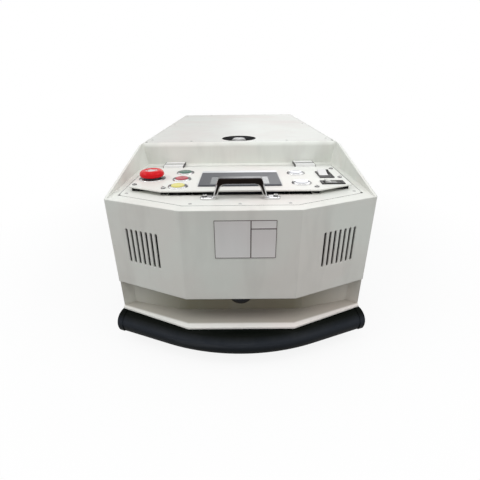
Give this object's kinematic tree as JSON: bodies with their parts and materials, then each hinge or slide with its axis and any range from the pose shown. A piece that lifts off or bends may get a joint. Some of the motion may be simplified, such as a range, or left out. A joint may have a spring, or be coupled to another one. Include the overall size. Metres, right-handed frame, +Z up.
{
  "type": "autonomous mobile robot",
  "caption": "Low floor vehicle that drives under a trolley and lifts a pin into it, with a sloped operator console, soft front bumper, scanner slot and swivelling drive unit.",
  "frame": {"origin": "on the floor under the middle of the vehicle's outline", "axes": "+Z up, +X to the right of someone who faces the console, the bumper and console at the -Y end"},
  "size_m": [0.4108, 0.95, 0.29],
  "materials": {
    "powder_coat": "satin powder coat",
    "frame_paint": "satin paint",
    "rubber": "matt",
    "zinc": "zinc plated",
    "steel": "ground",
    "chrome": "polished",
    "bronze": "turned",
    "contact_copper": "rubbed bright, in a black holder",
    "aluminium": "anodised",
    "cast_housing": "cast",
    "black_plastic": "fine grain",
    "grey_plastic": "fine grain",
    "screen": "gloss",
    "light_plastic": "gloss",
    "red_plastic": "gloss",
    "yellow_lens": "gloss",
    "red_lens": "gloss",
    "green_lens": "gloss",
    "clear_lens": "gloss",
    "tyre": "moulded",
    "castor_tyre": "moulded",
    "battery_case": "moulded",
    "urethane": "moulded"
  },
  "bodies": {
    "chassis": {"base_plate_front": "powder_coat", "base_plate_rear": "powder_coat", "frame_tubes": "frame_paint", "lower_walls": "powder_coat", "scanner_bay": "powder_coat", "upper_housing": "powder_coat", "top_cover": "powder_coat", "scanner_housing": "black_plastic", "scanner_window": "black_plastic", "bumper_carrier": "frame_paint", "bumper_rubber": "rubber", "bumper_end_caps": "rubber", "hinge_leaves_fixed": "zinc", "hinge_pins": "steel", "battery_packs": "battery_case", "control_electronics": "aluminium", "charge_contacts": "contact_copper", "magnetic_sensor": "black_plastic", "lift_guide_tube": "steel", "lift_bush": "bronze", "lift_motor": "cast_housing", "cross_bridges": "frame_paint", "slew_ring_outer": "steel", "front_castor_plates": "zinc", "rear_castor_brackets": "zinc"},
    "lid": {"console_lid": "powder_coat", "hinge_leaves_lid": "zinc", "control_panel": "powder_coat", "panel_standoffs": "rubber", "console_screws": "zinc", "display_housing": "grey_plastic", "display_screen": "screen", "estop_base": "light_plastic", "button_bezels": "chrome", "lid_handle": "chrome", "rocker_frames": "black_plastic"},
    "estop_stem": {"estop_stem": "light_plastic"},
    "estop_head": {"estop_head": "red_plastic"},
    "yellow_button": {"yellow_button": "yellow_lens"},
    "red_button": {"red_button": "red_lens"},
    "green_button": {"green_button": "green_lens"},
    "clear_button_front": {"clear_button_front": "clear_lens"},
    "clear_button_rear": {"clear_button_rear": "clear_lens"},
    "power_rocker": {"power_rocker": "light_plastic"},
    "mode_rocker": {"mode_rocker": "black_plastic"},
    "lift_pin": {"lift_pin": "steel"},
    "lift_screw": {"lift_screw": "steel"},
    "drive_swivel": {"slew_ring_inner": "steel", "drive_carriage": "frame_paint", "spring_buffers": "urethane"},
    "drive_cradle": {"drive_cradle": "frame_paint", "gear_motors": "cast_housing"},
    "drive_wheel_left": {"drive_wheel_left": "tyre"},
    "drive_wheel_right": {"drive_wheel_right": "tyre"},
    "castor_fork_left": {"front_castor_fork_left": "zinc"},
    "castor_fork_right": {"front_castor_fork_right": "zinc"},
    "castor_wheel_left": {"front_castor_wheel_left": "castor_tyre"},
    "castor_wheel_right": {"front_castor_wheel_right": "castor_tyre"},
    "rear_wheel_left": {"rear_castor_wheel_left": "castor_tyre"},
    "rear_wheel_right": {"rear_castor_wheel_right": "castor_tyre"}
  },
  "joints": [
    {"name": "lid_hinge", "type": "hinge", "parent": "chassis", "child": "lid", "pos_m": [0, -0.188, 0.2505], "axis": [-1, 0, 0], "range_deg": [0, 95]},
    {"name": "estop_press", "type": "slide", "parent": "lid", "child": "estop_stem", "axis": [0, 0, -1], "range_m": [0, 0.003], "stiffness_N_per_m": 400},
    {"name": "estop_twist", "type": "hinge", "parent": "estop_stem", "child": "estop_head", "pos_m": [-0.1465, -0.309, 0.264], "axis": [0, 0, -1], "range_deg": [0, 45], "stiffness_Nm_per_rad": 0.02},
    {"name": "yellow_button_press", "type": "slide", "parent": "lid", "child": "yellow_button", "axis": [0, 0, -1], "range_m": [0, 0.002], "stiffness_N_per_m": 200},
    {"name": "red_button_press", "type": "slide", "parent": "lid", "child": "red_button", "axis": [0, 0, -1], "range_m": [0, 0.002], "stiffness_N_per_m": 200},
    {"name": "green_button_press", "type": "slide", "parent": "lid", "child": "green_button", "axis": [0, 0, -1], "range_m": [0, 0.002], "stiffness_N_per_m": 200},
    {"name": "clear_button_front_press", "type": "slide", "parent": "lid", "child": "clear_button_front", "axis": [0, 0, -1], "range_m": [0, 0.002], "stiffness_N_per_m": 200},
    {"name": "clear_button_rear_press", "type": "slide", "parent": "lid", "child": "clear_button_rear", "axis": [0, 0, -1], "range_m": [0, 0.002], "stiffness_N_per_m": 200},
    {"name": "power_rocker_tip", "type": "hinge", "parent": "lid", "child": "power_rocker", "pos_m": [0.145, -0.296, 0.2565], "axis": [-1, 0, 0], "range_deg": [0, 16]},
    {"name": "mode_rocker_tip", "type": "hinge", "parent": "lid", "child": "mode_rocker", "pos_m": [0.146, -0.3445, 0.2565], "axis": [0, -1, 0], "range_deg": [0, 16]},
    {"name": "lift_slide", "type": "slide", "parent": "chassis", "child": "lift_pin", "axis": [0, 0, 1], "range_m": [0, 0.05]},
    {"name": "lift_screw_turn", "type": "hinge", "parent": "chassis", "child": "lift_screw", "pos_m": [0, -0.107, 0.2], "axis": [0, 0, 1], "range_deg": [0, 2250]},
    {"name": "drive_swivel", "type": "hinge", "parent": "chassis", "child": "drive_swivel", "pos_m": [0, 0.081, 0.188], "axis": [0, 0, 1], "range_deg": [-90, 90]},
    {"name": "drive_suspension", "type": "slide", "parent": "drive_swivel", "child": "drive_cradle", "axis": [0, 0, 1], "range_m": [-0.006, 0.01], "stiffness_N_per_m": 20000, "springref_m": -0.02, "deforming": ["spring_buffers"]},
    {"name": "drive_wheel_left_turn", "type": "hinge", "parent": "drive_cradle", "child": "drive_wheel_left", "pos_m": [-0.122, 0.081, 0.075], "axis": [1, 0, 0], "continuous": true},
    {"name": "drive_wheel_right_turn", "type": "hinge", "parent": "drive_cradle", "child": "drive_wheel_right", "pos_m": [0.122, 0.081, 0.075], "axis": [1, 0, 0], "continuous": true},
    {"name": "castor_left_swivel", "type": "hinge", "parent": "chassis", "child": "castor_fork_left", "pos_m": [-0.12, -0.274, 0.05], "axis": [0, 0, 1], "continuous": true},
    {"name": "castor_right_swivel", "type": "hinge", "parent": "chassis", "child": "castor_fork_right", "pos_m": [0.12, -0.274, 0.05], "axis": [0, 0, 1], "continuous": true},
    {"name": "castor_left_roll", "type": "hinge", "parent": "castor_fork_left", "child": "castor_wheel_left", "pos_m": [-0.12, -0.256, 0.022], "axis": [1, 0, 0], "continuous": true},
    {"name": "castor_right_roll", "type": "hinge", "parent": "castor_fork_right", "child": "castor_wheel_right", "pos_m": [0.12, -0.256, 0.022], "axis": [1, 0, 0], "continuous": true},
    {"name": "rear_left_roll", "type": "hinge", "parent": "chassis", "child": "rear_wheel_left", "pos_m": [-0.12, 0.356, 0.025], "axis": [1, 0, 0], "continuous": true},
    {"name": "rear_right_roll", "type": "hinge", "parent": "chassis", "child": "rear_wheel_right", "pos_m": [0.12, 0.356, 0.025], "axis": [1, 0, 0], "continuous": true}
  ],
  "couplings": [
    {"joint": "lift_screw_turn", "follows": "lift_slide", "rad_per_m": 785.4}
  ]
}
